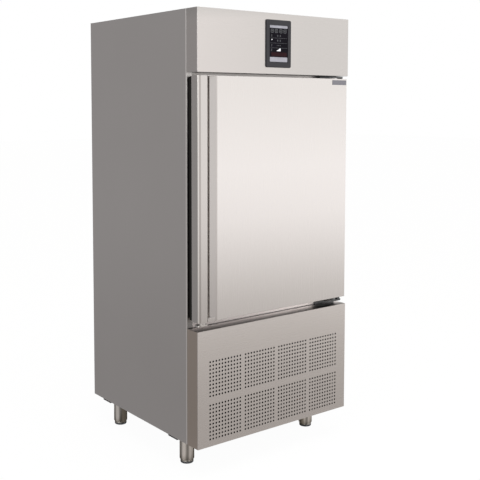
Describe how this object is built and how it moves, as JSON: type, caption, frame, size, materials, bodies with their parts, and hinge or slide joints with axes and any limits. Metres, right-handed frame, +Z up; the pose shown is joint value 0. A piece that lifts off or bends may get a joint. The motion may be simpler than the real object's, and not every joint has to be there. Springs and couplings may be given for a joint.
{
  "type": "blast chiller",
  "caption": "Upright steel blast chiller with a full-height door and built-in grip, touch controller, perforated vent panel, tray racks, fans, condensing unit and levelling legs.",
  "frame": {"origin": "on the floor under the middle of the whole object", "axes": "+Z up, the front with the door faces -Y, +X to the right as seen from the front"},
  "size_m": [0.8, 0.84, 1.815],
  "materials": {
    "side_steel": "brushed, darker",
    "front_steel": "fine brushed",
    "liner_steel": "fine brushed",
    "galvanised": "galvanised",
    "foam": "rigid foam",
    "leg_steel": "turned",
    "foot_plate": "painted",
    "bezel_plastic": "moulded",
    "screen_glass": "black printed glass",
    "board": "circuit board",
    "black_plastic": "moulded",
    "dark_plastic": "moulded",
    "rubber": "matte",
    "black_paint": "gloss paint",
    "fins": "bare",
    "copper": "copper tube",
    "fan": "painted",
    "wire": "drawn wire",
    "badge": "satin"
  },
  "bodies": {
    "cabinet": {"left_side_panel": "side_steel", "right_side_panel": "side_steel", "top_panel": "side_steel", "back_panel": "galvanised", "tank_foam": "foam", "chamber_liner": "liner_steel", "front_frame": "liner_steel", "base_pan": "galvanised", "foot_plates": "foot_plate", "leg_tubes": "leg_steel", "header_panel": "front_steel", "controller_bezel": "bezel_plastic", "controller_glass": "screen_glass", "circuit_boards": "board", "control_box": "galvanised", "door_switch": "black_plastic", "top_hinge_bracket": "galvanised", "bottom_hinge_bracket": "galvanised", "panel_screws": "galvanised", "vent_panel": "front_steel", "vent_panel_frame": "front_steel", "rear_grille": "galvanised", "compressor": "black_paint", "compressor_grommets": "rubber", "terminal_cover": "dark_plastic", "condenser_coil": "fins", "condenser_shroud": "galvanised", "condenser_motor": "black_paint", "liquid_receiver": "black_paint", "filter_drier": "copper", "discharge_line": "copper", "condenser_line": "copper", "liquid_line": "copper", "suction_line": "copper", "drain_pipe": "dark_plastic", "condensate_tray": "dark_plastic", "cable_gland": "black_plastic", "evaporator_coil": "fins", "fan_baffle": "liner_steel", "evaporator_motors": "black_paint", "fan_guards": "wire", "left_tray_rack": "wire", "right_tray_rack": "wire"},
    "door": {"handle_profile": "front_steel", "handle_end_caps": "front_steel", "door_skin": "front_steel", "door_foam": "foam", "door_liner": "liner_steel", "door_profile": "black_plastic", "door_gasket": "rubber", "door_badge": "badge", "hinge_bushes": "black_plastic", "door_magnet": "dark_plastic"},
    "condenser_fan": {"condenser_fan": "fan"},
    "upper_evaporator_fan": {"upper_evaporator_fan": "fan"},
    "lower_evaporator_fan": {"lower_evaporator_fan": "fan"},
    "adjuster_front_left": {"adjuster_front_left": "leg_steel"},
    "adjuster_front_right": {"adjuster_front_right": "leg_steel"},
    "adjuster_rear_left": {"adjuster_rear_left": "leg_steel"},
    "adjuster_rear_right": {"adjuster_rear_right": "leg_steel"}
  },
  "joints": [
    {"name": "door_hinge", "type": "hinge", "parent": "cabinet", "child": "door", "pos_m": [0.378, -0.388, 1.085], "axis": [0, 0, 1], "range_deg": [0, 110]},
    {"name": "condenser_fan_spin", "type": "hinge", "parent": "cabinet", "child": "condenser_fan", "pos_m": [-0.07, -0.222, 0.32], "axis": [0, -1, 0], "continuous": true},
    {"name": "upper_evaporator_fan_spin", "type": "hinge", "parent": "cabinet", "child": "upper_evaporator_fan", "pos_m": [0, 0.123, 1.295], "axis": [0, -1, 0], "continuous": true},
    {"name": "lower_evaporator_fan_spin", "type": "hinge", "parent": "cabinet", "child": "lower_evaporator_fan", "pos_m": [0, 0.123, 0.885], "axis": [0, -1, 0], "continuous": true},
    {"name": "level_front_left", "type": "slide", "parent": "cabinet", "child": "adjuster_front_left", "axis": [0, 0, -1], "range_m": [0, 0.03]},
    {"name": "level_front_right", "type": "slide", "parent": "cabinet", "child": "adjuster_front_right", "axis": [0, 0, -1], "range_m": [0, 0.03]},
    {"name": "level_rear_left", "type": "slide", "parent": "cabinet", "child": "adjuster_rear_left", "axis": [0, 0, -1], "range_m": [0, 0.03]},
    {"name": "level_rear_right", "type": "slide", "parent": "cabinet", "child": "adjuster_rear_right", "axis": [0, 0, -1], "range_m": [0, 0.03]}
  ]
}
